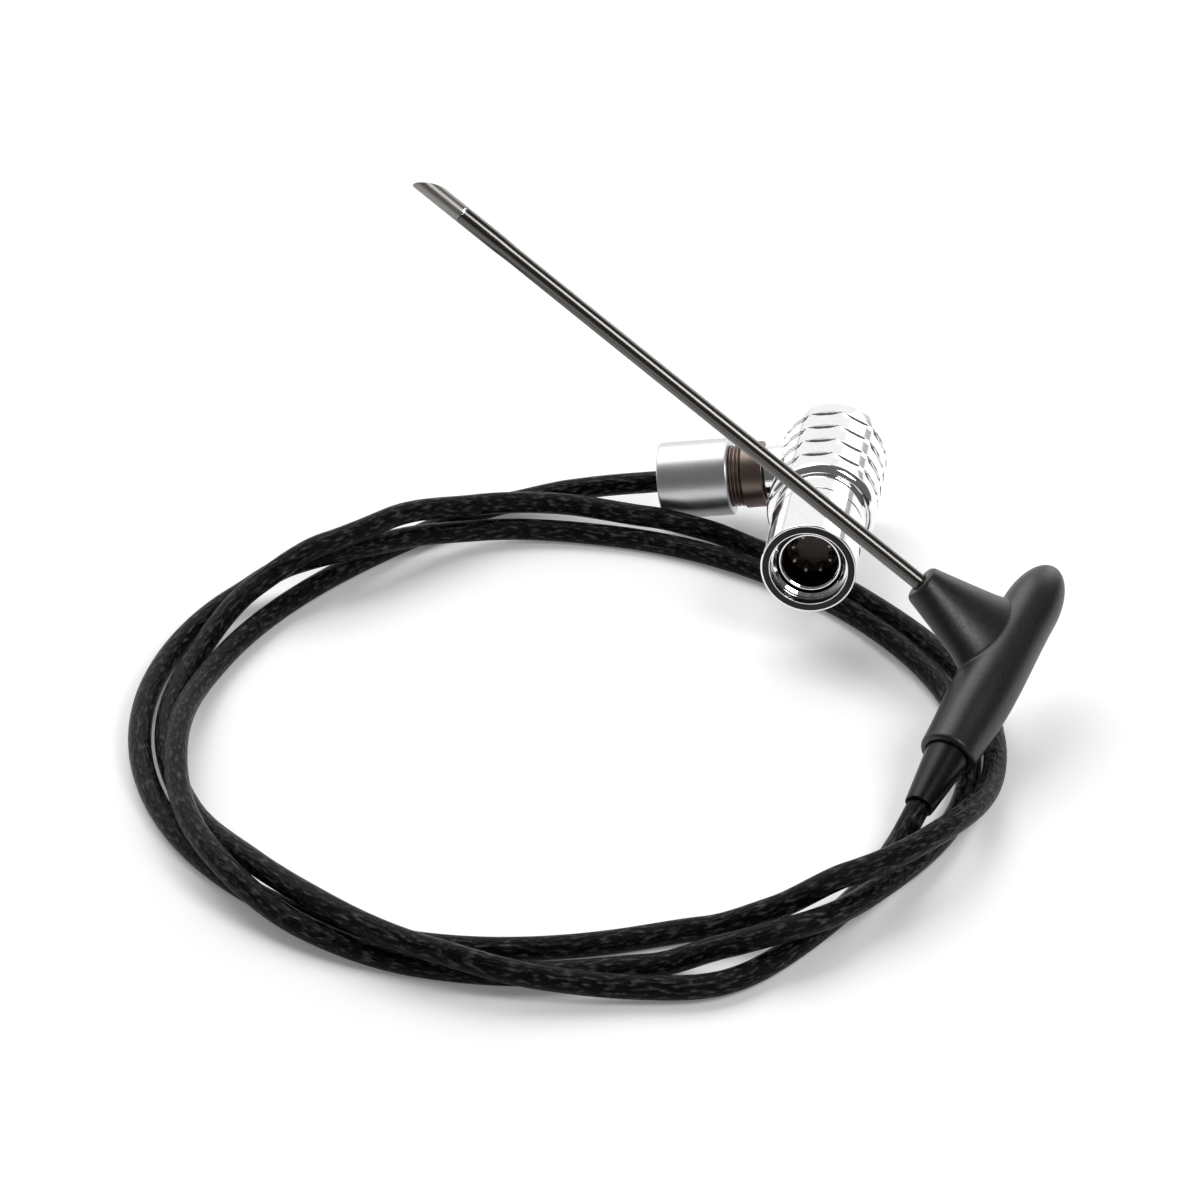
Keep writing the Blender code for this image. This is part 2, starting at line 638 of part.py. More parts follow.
def curve_through(points, steps):
    """Smooth curve through the points: level on the bench, eased over its own humps."""
    spans = np.linalg.norm(np.diff(points, axis=0), axis=1)
    slopes = np.array([even_slopes(points[:, 0], spans), even_slopes(points[:, 1], spans),
                       level_slopes(points[:, 2], spans)]).T
    read = []
    for i, span in enumerate(spans):
        for u in np.arange(steps) / steps:
            read.append((1 + 2 * u) * (1 - u) ** 2 * points[i] + u * (1 - u) ** 2 * span * slopes[i]
                        + u * u * (3 - 2 * u) * points[i + 1] - u * u * (1 - u) * span * slopes[i + 1])
    read.append(points[-1])
    return np.array(read)


def evenly_spaced(read, count):
    along = np.concatenate([[0.0], np.cumsum(np.linalg.norm(np.diff(read, axis=0), axis=1))])
    wanted = np.linspace(0.0, along[-1], count)
    return np.array([np.interp(wanted, along, read[:, k]) for k in range(3)]).T


def make_cable():
    """The free cable, from the boot's end face to the grommet's."""
    foot = bench.matrix_world.inverted() @ grip_frame.matrix_world
    outlet = bench.matrix_world.inverted() @ outlet_frame.matrix_world
    start = foot @ Vector((0, 0, -boot_length - clearance))
    end = outlet @ Vector((0, 0, nut_end + grommet_proud + clearance))
    middle = [np.array(point) / 1000 for point in cable_route]
    read = curve_through(np.array([np.array(start), *middle, np.array(end)]), 24)
    curve = bpy.data.curves.new("sensor_cable", "CURVE")
    curve.dimensions = "3D"
    curve.bevel_depth = cable_radius
    curve.bevel_resolution = 3
    curve.use_fill_caps = True
    line = curve.splines.new("POLY")
    line.points.add(cable_point_count - 1)
    for point, place in zip(line.points, evenly_spaced(read, cable_point_count)):
        point.co = (*place, 1.0)
    add_object("sensor_cable", curve, bench, cable_jacket)


make_grip()
make_needle()
make_sensors()
make_lead_in()
make_core()
make_housing()
make_outlet()
bpy.context.view_layer.update()
make_cable()
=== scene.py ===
import math

import bmesh
import bpy
import numpy as np
from mathutils import Matrix, Vector


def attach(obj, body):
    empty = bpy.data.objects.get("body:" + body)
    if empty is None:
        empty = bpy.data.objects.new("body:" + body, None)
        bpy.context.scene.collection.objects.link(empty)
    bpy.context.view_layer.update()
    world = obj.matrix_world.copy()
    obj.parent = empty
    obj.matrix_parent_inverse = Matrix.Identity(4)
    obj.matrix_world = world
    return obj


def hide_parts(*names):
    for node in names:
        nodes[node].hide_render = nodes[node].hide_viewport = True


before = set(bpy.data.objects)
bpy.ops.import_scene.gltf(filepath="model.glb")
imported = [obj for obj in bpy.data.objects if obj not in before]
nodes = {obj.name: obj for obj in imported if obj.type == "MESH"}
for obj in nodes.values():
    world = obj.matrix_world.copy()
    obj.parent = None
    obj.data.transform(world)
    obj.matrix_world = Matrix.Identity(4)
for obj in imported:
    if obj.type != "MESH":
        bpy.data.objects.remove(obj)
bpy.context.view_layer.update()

print("frame loaded:", len(nodes), "nodes")

# The bench frame of the source: its origin lies under the cable's loop, and the
# model's origin is the middle of the probe's box.
probeMiddle = Vector((0.0340, -0.0560, 0.0642))

pose = {
    "gripFoot": Vector((0.0800, -0.0842, 0.0115)),
    "gripHeading": math.radians(62.25),
    "gripSlope": math.radians(14.9),
    "needleLift": math.radians(37.2),
    "plugMouth": Vector((0.0504, -0.0230, 0.0239)),
    "plugHeading": math.radians(-98.5),
    "plugSlope": math.radians(5.8),
    "outletDip": math.radians(9.5),
    "neckStation": 0.0351,
    "outletStation": 0.0575,
}


def poseAxes(heading, slope, roll, hand):
    # The axis along a heading and a slope, and the one across it after a roll
    along = Vector((math.cos(slope) * math.cos(heading), math.cos(slope) * math.sin(heading),
                    math.sin(slope)))
    level = Vector((-math.sin(heading), math.cos(heading), 0.0)) * hand
    upright = level.cross(along) * -hand
    return (level * math.cos(roll) + upright * math.sin(roll)).normalized(), along


def poseMatrix(place, xAxis, zAxis):
    yAxis = zAxis.cross(xAxis)
    turn = Matrix((xAxis, yAxis, zAxis)).transposed().to_4x4()
    return Matrix.Translation(place) @ turn


needleAxis, barAxis = poseAxes(pose["gripHeading"], pose["gripSlope"], pose["needleLift"], 1)
gripFrame = poseMatrix(pose["gripFoot"] - probeMiddle, needleAxis, barAxis)
neckFrame = poseMatrix(gripFrame @ Vector((0, 0, pose["neckStation"])), -barAxis, needleAxis)
outletAxis, plugAxis = poseAxes(pose["plugHeading"], pose["plugSlope"], -pose["outletDip"], -1)
plugFrame = poseMatrix(pose["plugMouth"] - probeMiddle, -outletAxis, plugAxis)
outletFrame = poseMatrix(plugFrame @ Vector((0, 0, -pose["outletStation"])), plugAxis, outletAxis)


# Camera, worked out from the ellipses and the perspective of the photograph
view = {"distance": 0.990, "downTilt": 33.0, "lens": 118.74, "sensorWidth": 36, "clipStart": 0.05}


def makeCamera():
    data = bpy.data.cameras.new("camera")
    data.sensor_width = view["sensorWidth"]
    data.lens = view["lens"]
    data.clip_start = view["clipStart"]
    camera = bpy.data.objects.new("camera", data)
    tilt = math.radians(view["downTilt"])
    away = view["distance"]
    camera.location = Vector((0, -away * math.cos(tilt), away * math.sin(tilt))) - probeMiddle
    camera.rotation_euler = (math.pi / 2 - tilt, 0, 0)
    bpy.context.collection.objects.link(camera)
    bpy.context.scene.camera = camera


# Studio: a pale bench, a sky that is bright behind and to the left, and three soft lamps
studio = {
    "benchSize": 8,
    "benchColour": (0.93, 0.93, 0.93),
    "benchRoughness": 0.9,
    "benchGlow": 0.15,
    "skyTowards": (-0.40, 0.85, 0.28),
    "skyFrom": 0.30,
    "skyTo": 0.78,
    "skyDim": 0.12,
    "skyBright": 1.00,
    "lamps": [
        # name, place, looks at, width, length, watts
        ("overheadLamp", (-0.30, 0.48, 0.90), (0.0, 0.0, 0.0), 0.92, 0.82, 6.0),
        ("backPanel", (0.66, 0.86, 0.42), (0.0, 0.0, 0.06), 0.6, 0.6, 1.9),
        ("sideStrip", (0.44, -0.43, 0.64), (0.02, -0.03, 0.06), 0.30, 0.36, 2.7),
    ],
}


def makeBench():
    bpy.ops.mesh.primitive_plane_add(size=studio["benchSize"], location=(0, 0, -probeMiddle.z))
    bench = bpy.context.object
    bench.name = "bench"
    paint, shader = newMaterial("benchPaint", studio["benchColour"], studio["benchRoughness"])
    shader.inputs["Specular IOR Level"].default_value = 0.0
    # A faint glow for what looks at the bench, so that it stays white around the shadow
    rays = addNode(paint, "ShaderNodeLightPath")
    seen = addNode(paint, "ShaderNodeMath", {0: (rays, "Is Camera Ray"), 1: (rays, "Is Glossy Ray")},
                   operation="MAXIMUM")
    seen = addNode(paint, "ShaderNodeMath", {0: (seen, 0), 1: (rays, "Is Transmission Ray")},
                   operation="MAXIMUM")
    glow = addNode(paint, "ShaderNodeMath", {0: (seen, 0)}, operation="MULTIPLY")
    glow.inputs[1].default_value = studio["benchGlow"]
    shader.inputs["Emission Color"].default_value = (1, 1, 1, 1)
    link(paint, glow, 0, shader, "Emission Strength")
    bench.data.materials.append(paint)


def makeStudio():
    for name, place, target, width, length, watts in studio["lamps"]:
        data = bpy.data.lights.new(name, "AREA")
        data.shape = "RECTANGLE"
        data.size, data.size_y = width, length
        data.energy = watts
        lamp = bpy.data.objects.new(name, data)
        lamp.location = Vector(place) - probeMiddle
        lamp.rotation_euler = (Vector(target) - Vector(place)).to_track_quat("-Z", "Y").to_euler()
        bpy.context.collection.objects.link(lamp)
    world = bpy.data.worlds.new("studio")
    world.use_nodes = True
    sky = world.node_tree.nodes["Background"]
    sky.inputs["Color"].default_value = (1, 1, 1, 1)
    where = addNode(world, "ShaderNodeTexCoord")
    facing = addNode(world, "ShaderNodeVectorMath", {0: (where, "Generated")}, operation="DOT_PRODUCT")
    facing.inputs[1].default_value = Vector(studio["skyTowards"]).normalized()
    level = addNode(world, "ShaderNodeMapRange", {"Value": (facing, "Value")},
                    interpolation_type="SMOOTHSTEP")
    level.inputs["From Min"].default_value = studio["skyFrom"]
    level.inputs["From Max"].default_value = studio["skyTo"]
    level.inputs["To Min"].default_value = studio["skyDim"]
    level.inputs["To Max"].default_value = studio["skyBright"]
    link(world, level, "Result", sky, "Strength")
    bpy.context.scene.world = world
    bpy.context.scene.view_settings.view_transform = "Standard"


# Free cable: the source's own route, in millimetres on the bench, with the same smooth
# curve through it
cord = {
    "radius": 0.00275,
    "bootEnd": 0.0163,
    "grommetEnd": 0.0444,
    "stepsPerSpan": 16,
    "sides": 28,
    "route": [
        (67.5, -108.2, 4.3), (59.9, -121.7, 2.8), (40.6, -146.2, 2.8), (25.0, -157.7, 3.3),
        (8.6, -159.2, 3.7), (-12.9, -158.8, 6.1), (-36.8, -153.1, 9.4), (-59.2, -138.7, 9.6),
        (-77.5, -119.9, 8.2), (-95.1, -90.9, 3.1), (-102.6, -62.8, 2.8), (-98.2, -30.8, 3.8),
        (-84.6, -7.5, 9.5), (-68.3, 2.1, 15.4), (-53.2, 13.5, 15.5), (-31.8, 28.1, 10.6),
        (-10.2, 32.6, 8.2), (12.7, 26.9, 7.8), (26.7, 25.1, 5.1), (41.1, 18.4, 2.8),
        (69.4, -8.7, 2.8), (88.7, -41.1, 2.9), (91.8, -79.0, 4.8), (71.8, -119.7, 13.4),
        (54.7, -132.2, 13.9), (37.7, -137.6, 8.3), (23.1, -138.3, 3.6), (2.2, -142.3, 2.8),
        (-28.5, -144.5, 2.8), (-62.0, -135.1, 2.8), (-90.6, -110.9, 3.0), (-107.0, -75.2, 2.9),
        (-106.8, -36.2, 2.8), (-90.5, -4.9, 4.1), (-77.5, 4.0, 7.7), (-64.6, 7.7, 9.6),
        (-50.5, 16.3, 7.8), (-30.6, 25.8, 4.4), (2.6, 25.8, 2.8), (37.8, 11.0, 2.8),
        (68.8, -18.5, 2.8), (85.7, -56.0, 2.8), (83.7, -89.7, 2.8), (60.2, -129.6, 6.6),
        (41.4, -146.2, 9.6), (27.0, -149.2, 7.1), (10.9, -150.6, 2.8), (-10.9, -153.3, 2.8),
        (-39.2, -150.4, 2.8), (-65.5, -139.5, 5.1), (-88.7, -114.9, 9.5), (-98.6, -77.2, 9.1),
        (-91.0, -29.6, 3.6), (-67.7, 5.7, 3.1), (-41.0, 30.5, 2.8), (-23.3, 41.3, 3.2),
        (-7.7, 42.3, 6.4), (3.7, 40.9, 8.8),
    ],
}


def evenSlopes(values, spans):
    # Slopes that carry the curve's bend on through every point
    count = len(values)
    steps = np.diff(values) / spans
    rows = np.eye(count)
    wanted = np.zeros(count)
    wanted[0], wanted[-1] = steps[0], steps[-1]
    for i in range(1, count - 1):
        rows[i, i - 1:i + 2] = spans[i], 2 * (spans[i - 1] + spans[i]), spans[i - 1]
        wanted[i] = 3 * (spans[i] * steps[i - 1] + spans[i - 1] * steps[i])
    return np.linalg.solve(rows, wanted)


def levelSlopes(values, spans):
    # Slopes for the heights, which never swing past a point
    steps = np.diff(values) / spans
    slopes = np.zeros(len(values))
    slopes[0], slopes[-1] = steps[0], steps[-1]
    for i in range(1, len(values) - 1):
        if steps[i - 1] * steps[i] > 0:
            slopes[i] = 2 * steps[i - 1] * steps[i] / (steps[i - 1] + steps[i])
    return slopes


def cordLine():
    start = np.array(gripFrame @ Vector((0, 0, -cord["bootEnd"])))
    end = np.array(outletFrame @ Vector((0, 0, cord["grommetEnd"])))
    middle = [np.array(point) / 1000 - np.array(probeMiddle) for point in cord["route"]]
    points = np.array([start, *middle, end])
    spans = np.linalg.norm(np.diff(points, axis=0), axis=1)
    slopes = np.array([evenSlopes(points[:, 0], spans), evenSlopes(points[:, 1], spans),
                       levelSlopes(points[:, 2], spans)]).T
    read = []
    for i, span in enumerate(spans):
        for u in np.arange(cord["stepsPerSpan"]) / cord["stepsPerSpan"]:
            read.append((1 + 2 * u) * (1 - u) ** 2 * points[i] + u * (1 - u) ** 2 * span * slopes[i]
                        + u * u * (3 - 2 * u) * points[i + 1] - u * u * (1 - u) * span * slopes[i + 1])
    read.append(points[-1])
    return [Vector(point) for point in read]


def makeTube(name, line, radius, sides):
    # Rings carried along the line without twist, with a UV map in metres
    mesh = bpy.data.meshes.new(name)
    last = len(line) - 1
    tangents = [(line[min(i + 1, last)] - line[max(i - 1, 0)]).normalized() for i in range(len(line))]
    across = tangents[0].orthogonal().normalized()
    vertices, along, travelled = [], [], 0.0
    for i, (point, tangent) in enumerate(zip(line, tangents)):
        across = (across - tangent * across.dot(tangent)).normalized()
        other = tangent.cross(across)
        if i:
            travelled += (point - line[i - 1]).length
        along.append(travelled)
        for a in fullTurn(sides):
            vertices.append(point + (across * math.cos(a) + other * math.sin(a)) * radius)
    faces = []
    for i in range(last):
        for k in range(sides):
            j = (k + 1) % sides
            faces.append((i * sides + k, i * sides + j, (i + 1) * sides + j, (i + 1) * sides + k))
    faces.append(tuple(reversed(range(sides))))
    faces.append(tuple(range(last * sides, len(line) * sides)))
    mesh.from_pydata(vertices, [], faces)
    uvs = mesh.uv_layers.new(name="lengthwise")
    for face in mesh.polygons:
        if len(face.vertices) > 4:
            continue
        i, k = divmod(face.index, sides)
        corners = [(k, i), (k + 1, i), (k + 1, i + 1), (k, i + 1)]
        for loop, (u, v) in zip(face.loop_indices, corners):
            uvs.data[loop].uv = (u / sides, along[v])
    mesh.shade_smooth()
    mesh.update()
    piece = bpy.data.objects.new(name, mesh)
    bpy.context.collection.objects.link(piece)
    return piece


# Materials: colour and roughness each run between two values with a noise, whose middle
# part is used, and the depth of the bump is in metres
noiseSpan = (0.3, 0.7)


def newMaterial(name, colour, roughness, metallic=0.0):
    material = bpy.data.materials.new(name)
    material.use_nodes = True
    shader = material.node_tree.nodes["Principled BSDF"]
    shader.inputs["Base Color"].default_value = (*colour, 1)
    shader.inputs["Roughness"].default_value = roughness
    shader.inputs["Metallic"].default_value = metallic
    return material, shader


def addNode(owner, kind, links=(), **values):
    # A node with its settings and inputs by name, and its links from (node, output) pairs
    node = owner.node_tree.nodes.new(kind)
    for key, value in values.items():
        if key in node.inputs:
            node.inputs[key].default_value = value
        else:
            setattr(node, key, value)
    for key, (source, output) in dict(links).items():
        owner.node_tree.links.new(source.outputs[output], node.inputs[key])
    return node


def link(owner, source, output, target, socket):
    owner.node_tree.links.new(source.outputs[output], target.inputs[socket])


def spread(material, noise, low, high):
    # A noise stretched to run from one value to another
    node = addNode(material, "ShaderNodeMapRange", {"Value": (noise, "Fac")})
    node.inputs["From Min"].default_value = noiseSpan[0]
    node.inputs["From Max"].default_value = noiseSpan[1]
    node.inputs["To Min"].default_value = low
    node.inputs["To Max"].default_value = high
    return node


def grain(material, scale, stretch=(1, 1, 1), coordinate="Object", detail=4.0):
    where = addNode(material, "ShaderNodeTexCoord")
    placed = addNode(material, "ShaderNodeMapping", {"Vector": (where, coordinate)})
    placed.inputs["Scale"].default_value = stretch
    return addNode(material, "ShaderNodeTexNoise", {"Vector": (placed, "Vector")}, Scale=scale, Detail=detail)


def roughen(material, shader, noise, low, high, depth):
    rough = spread(material, noise, low, high)
    link(material, rough, "Result", shader, "Roughness")
    bump = addNode(material, "ShaderNodeBump", {"Height": (noise, "Fac")}, Strength=1.0, Distance=depth)
    link(material, bump, "Normal", shader, "Normal")


def tint(material, shader, noise, dark, light, span=noiseSpan):
    ramp = addNode(material, "ShaderNodeValToRGB", {"Fac": (noise, "Fac")})
    for stop, place, colour in zip(ramp.color_ramp.elements, span, (dark, light)):
        stop.position = place
        stop.color = (*colour, 1)
    link(material, ramp, "Color", shader, "Base Color")


def plainFinish(name, dark, light, rough, depth, scale, metallic=0.0, specular=0.5, **where):
    # Fine grain in the colour, the roughness and a shallow bump
    material, shader = newMaterial(name, dark, rough[0], metallic)
    shader.inputs["Specular IOR Level"].default_value = specular
    noise = grain(material, scale, **where)
    tint(material, shader, noise, dark, light)
    roughen(material, shader, noise, rough[0], rough[1], depth)
    return material


# Black jacket with a leathery surface: pale flecks drawn out along the cable are painted glints in its colour
jacket = {
    "colour": (0.006, 0.006, 0.006), "roughness": 0.4, "specular": 0.06,
    "scale": 1.0, "stretch": (22, 330, 1), "detail": 9.0,
    # light is the colour of the painted glints that the pale flecks stand for
    "dark": (0.0030, 0.0030, 0.0031), "light": (0.120, 0.120, 0.122), "glintSpan": (0.52, 0.84),
    "smooth": 0.18, "rough": 0.40, "depth": 0.00060,
}


def jacketFinish():
    material, shader = newMaterial("jacketFinish", jacket["colour"], jacket["roughness"])
    shader.inputs["Specular IOR Level"].default_value = jacket["specular"]
    glintNoise = grain(material, jacket["scale"], stretch=jacket["stretch"], coordinate="UV",
                   detail=jacket["detail"])
    # The pale flecks in the colour are painted glints
    tint(material, shader, glintNoise, jacket["dark"], jacket["light"], jacket["glintSpan"])
    roughen(material, shader, glintNoise, jacket["smooth"], jacket["rough"], jacket["depth"])
    return material


def makeFinishes():
    # Each has a name, dark and light colours, roughness from and to, depth and the noise's scale
    ringed = {"stretch": (3, 9000, 1), "coordinate": "UV"}
    return {
        "grip": plainFinish("gripFinish", (0.005, 0.005, 0.0052), (0.009, 0.009, 0.0093), (0.34, 0.44),
                            0.00003, 1400, specular=0.50),
        "boot": plainFinish("bootFinish", (0.004, 0.004, 0.0042), (0.006, 0.006, 0.0063), (0.26, 0.36),
                            0.00001, 1500, specular=0.22),
        "jacket": jacketFinish(),
        "needle": plainFinish("needleFinish", (0.105, 0.101, 0.096), (0.130, 0.125, 0.118), (0.16, 0.24),
                              0.000002, 1.0, metallic=1.0, stretch=(40, 3000, 1), coordinate="UV"),
        "point": plainFinish("pointFinish", (0.24, 0.23, 0.22), (0.32, 0.31, 0.29), (0.34, 0.46),
                             0.000003, 1.0, metallic=1.0, stretch=(60, 2600, 1), coordinate="UV"),
        "chrome": plainFinish("chromeFinish", (0.86, 0.86, 0.87), (0.92, 0.92, 0.93), (0.05, 0.10),
                              0.0000008, 900, metallic=1.0),
        # The rim finish is near-black metal laid on the plug's chrome: a painted dark reflection on the
        # nose's front ring, and painted shade in the mouth, the guide's bore and the latch slots
        "rim": plainFinish("paintedShadeFinish", (0.020, 0.018, 0.017), (0.034, 0.031, 0.029), (0.22, 0.34),
                           0.000002, 1.0, metallic=1.0, **ringed),
        "nut": plainFinish("nutFinish", (0.60, 0.60, 0.61), (0.68, 0.68, 0.69), (0.30, 0.42),
                           0.000003, 1.0, metallic=1.0, **ringed),
        # The collar's dark brown is a painted reflection on nickel, far darker than the nut of the same metal
        "collar": plainFinish("collarPaintedReflection", (0.15, 0.115, 0.10), (0.22, 0.17, 0.145), (0.30, 0.44),
                              0.000003, 1.0, metallic=1.0, **ringed),
        "brass": plainFinish("brassFinish", (0.60, 0.46, 0.22), (0.70, 0.54, 0.28), (0.25, 0.36),
                             0.000004, 1200, metallic=1.0),
        "gold": plainFinish("goldFinish", (0.80, 0.72, 0.60), (0.88, 0.80, 0.68), (0.34, 0.44),
                            0.000002, 1200, metallic=1.0),
        "spring": plainFinish("springFinish", (0.45, 0.44, 0.43), (0.55, 0.54, 0.53), (0.26, 0.36),
                              0.000002, 1200, metallic=1.0),
        "resin": plainFinish("resinFinish", (0.050, 0.024, 0.014), (0.070, 0.034, 0.020), (0.34, 0.48),
                             0.000006, 2000, specular=0.4),
        "potting": plainFinish("pottingFinish", (0.025, 0.025, 0.028), (0.035, 0.035, 0.038), (0.42, 0.58),
                               0.00001, 1500),
        "ceramic": plainFinish("ceramicFinish", (0.70, 0.68, 0.63), (0.78, 0.76, 0.71), (0.42, 0.58),
                               0.000008, 2500),
    }


# Shaping
shaping = {"sides": 128, "arcSteps": 6, "support": 0.00003, "crease": math.radians(30), "pole": 1e-7}


def shares(steps):
    return [k / steps for k in range(steps + 1)]


def quarterTurn(steps):
    return [math.pi / 2 * k / steps for k in range(steps + 1)]


def fullTurn(sides):
    return [2 * math.pi * k / sides for k in range(sides)]


def eased(start, end, share):
    return start + (end - start) * (1 - math.cos(math.pi * share)) / 2


def roundedOutline(corners):
    # Corners are (radius, height, rounding); each rounding becomes an arc between two close edges
    flat = [Vector(corner[:2]) for corner in corners]
    outline = []
    for i, corner in enumerate(corners):
        rounding = corner[2] if len(corner) > 2 else 0.0
        if rounding == 0:
            outline.append(flat[i])
            continue
        back = (flat[i - 1] - flat[i]).normalized()
        ahead = (flat[(i + 1) % len(flat)] - flat[i]).normalized()
        half = back.angle(ahead) / 2
        reach = rounding / math.tan(half)
        centre = flat[i] + (back + ahead).normalized() * (rounding / math.sin(half))
        first = flat[i] + back * reach - centre
        last = flat[i] + ahead * reach - centre
        sweep = math.pi - 2 * half
        outline.append(flat[i] + back * (reach + shaping["support"]))
        for share in shares(shaping["arcSteps"]):
            outline.append(centre + (first * math.sin((1 - share) * sweep) + last * math.sin(share * sweep))
                           / math.sin(sweep))
        outline.append(flat[i] + ahead * (reach + shaping["support"]))
    return outline


def pieceFromRings(name, rings, place, closed=False):
    # Quads between rings of points, where a ring of one point is a pole; the UV map runs
    # once round in u and along the outline in metres in v
    bm = bmesh.new()
    wrap = bm.loops.layers.uv.new("wrap")
    sides = max(len(ring) for ring in rings)
    loops = [[bm.verts.new(point) for point in ring] for ring in rings]
    along = [0.0]
    for ring, following in zip(rings, rings[1:] + rings[:1]):
        along.append(along[-1] + (Vector(following[0]) - Vector(ring[0])).length)
    for i in range(len(loops) if closed else len(loops) - 1):
        lower, upper = loops[i], loops[(i + 1) % len(loops)]
        for k in range(sides):
            ends = [(lower, k, along[i]), (lower, k + 1, along[i]), (upper, k + 1, along[i + 1]),
                    (upper, k, along[i + 1])]
            if len(lower) == 1:
                ends.pop(0)
            if len(upper) == 1:
                ends.pop()
            face = bm.faces.new([loop[step % len(loop)] for loop, step, travelled in ends])
            for corner, (loop, step, travelled) in zip(face.loops, ends):
                corner[wrap].uv = (step / sides, travelled)
    if not closed:
        for loop in (loops[0], loops[-1]):
            if len(loop) > 2:
                bm.faces.new(loop)
    bmesh.ops.recalc_face_normals(bm, faces=bm.faces)
    mesh = bpy.data.meshes.new(name)
    bm.to_mesh(mesh)
    bm.free()
    mesh.transform(place)
    mesh.shade_smooth()
    mesh.set_sharp_from_angle(angle=shaping["crease"])
    piece = bpy.data.objects.new(name, mesh)
    bpy.context.collection.objects.link(piece)
    return piece


def ringOf(radius, height, sides):
    if radius < shaping["pole"]:
        return [(0, 0, height)]
    return [(radius * math.cos(a), radius * math.sin(a), height) for a in fullTurn(sides)]


def turnedPiece(name, corners, place, sides=shaping["sides"]):
    # An outline that starts on the axis makes a solid, any other one makes a tube
    hollow = corners[0][0] > shaping["pole"]
    rings = [ringOf(radius, height, sides) for radius, height in roundedOutline(corners)]
    return pieceFromRings(name, rings, place, closed=hollow)


def seat(piece, body, slot, finish, *stoodFor):
    # The piece rides on its body, takes its finish and stands for its solids
    piece.data.materials.append(finish)
    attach(piece, body)
    if stoodFor:
        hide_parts(*stoodFor)


# Grip: crossbar and neck moulded in one, with the boot's socket cut in its foot.
# neckSunk and flareFrom are shares of the belly's radius.
grip = {
    "length": 0.0638, "footRadius": 0.0069, "bellyRadius": 0.00775, "bellyStation": 0.0215,
    "crownRadius": 0.0070, "crownStation": 0.0485, "rimRound": 0.0010,
    "neckReach": 0.0266, "neckEnd": 0.0047, "neckWidth": 0.0142, "neckThickness": 0.0058,
    "neckSunk": 0.3, "neckRound": 0.0008, "flare": 0.0012, "flareHeight": 0.0055, "flareFrom": 0.75,
    "socketRadius": 0.0055, "socketDepth": 0.0090, "holeRadius": 0.0023, "holeStart": 0.006,
    "cutPast": 0.002, "voxel": 0.00032, "melt": 0.5, "meltPasses": 7, "crease": math.radians(40),
    "sides": 96, "holeSides": 64, "rimSteps": 8, "bellySteps": 24, "crownSteps": 32, "neckSteps": 40,
    "neckRoundSteps": 6,
}


def crossbarRings():
    rim, foot = grip["rimRound"], grip["footRadius"]
    belly, crown = grip["bellyStation"], grip["crownStation"]
    outline = [(0.0, 0.0)]
    for a in quarterTurn(grip["rimSteps"]):
        outline.append((foot - rim + rim * math.sin(a), rim - rim * math.cos(a)))
    for share in shares(grip["bellySteps"])[1:]:
        outline.append((eased(foot, grip["bellyRadius"], share), rim + (belly - rim) * share))
    for share in shares(grip["crownSteps"])[1:]:
        outline.append((eased(grip["bellyRadius"], grip["crownRadius"], share),
                        belly + (crown - belly) * share))
    dome = grip["length"] - crown
    for a in quarterTurn(grip["crownSteps"])[1:]:
        outline.append((grip["crownRadius"] * math.cos(a), crown + dome * math.sin(a)))
    return [ringOf(radius, height, grip["sides"]) for radius, height in outline]


def neckRings():
    # Flat ellipses that narrow to a circle at the needle and flare where they meet the crossbar
    tall, end, rounding = grip["neckReach"], grip["neckEnd"], grip["neckRound"]
    start = grip["bellyRadius"] * grip["neckSunk"]
    flareRoot = grip["bellyRadius"] * grip["flareFrom"]
    rings = []
    for k in range(grip["neckSteps"] + 1):
        height = start + (tall - rounding - start) * k / grip["neckSteps"]
        share = height / tall
        width = grip["neckWidth"] + (end - grip["neckWidth"]) * share
        thickness = grip["neckThickness"] + (end - grip["neckThickness"]) * share
        rise = max(0.0, 1 - (height - flareRoot) / grip["flareHeight"])
        flare = grip["flare"] * min(1.0, rise) ** 2
        rings.append([(flare / 2 + (width + flare) * math.cos(a), thickness * math.sin(a), height)
                      for a in fullTurn(grip["sides"])])
    for a in quarterTurn(grip["neckRoundSteps"])[1:]:
        radius = end - rounding * (1 - math.cos(a))
        rings.append(ringOf(radius, tall - rounding * (1 - math.sin(a)), grip["sides"]))
    return rings


def applyStep(piece, kind, **settings):
    step = piece.modifiers.new(kind.lower(), kind)
    for key, value in settings.items():
        setattr(step, key, value)
    bpy.context.view_layer.update()
    read = piece.evaluated_get(bpy.context.evaluated_depsgraph_get())
    mesh = bpy.data.meshes.new_from_object(read)
    piece.modifiers.clear()
    old = piece.data
    piece.data = mesh
    bpy.data.meshes.remove(old)


def combine(piece, tool, operation):
    applyStep(piece, "BOOLEAN", operation=operation, solver="EXACT", object=tool)
    bpy.data.objects.remove(tool, do_unlink=True)


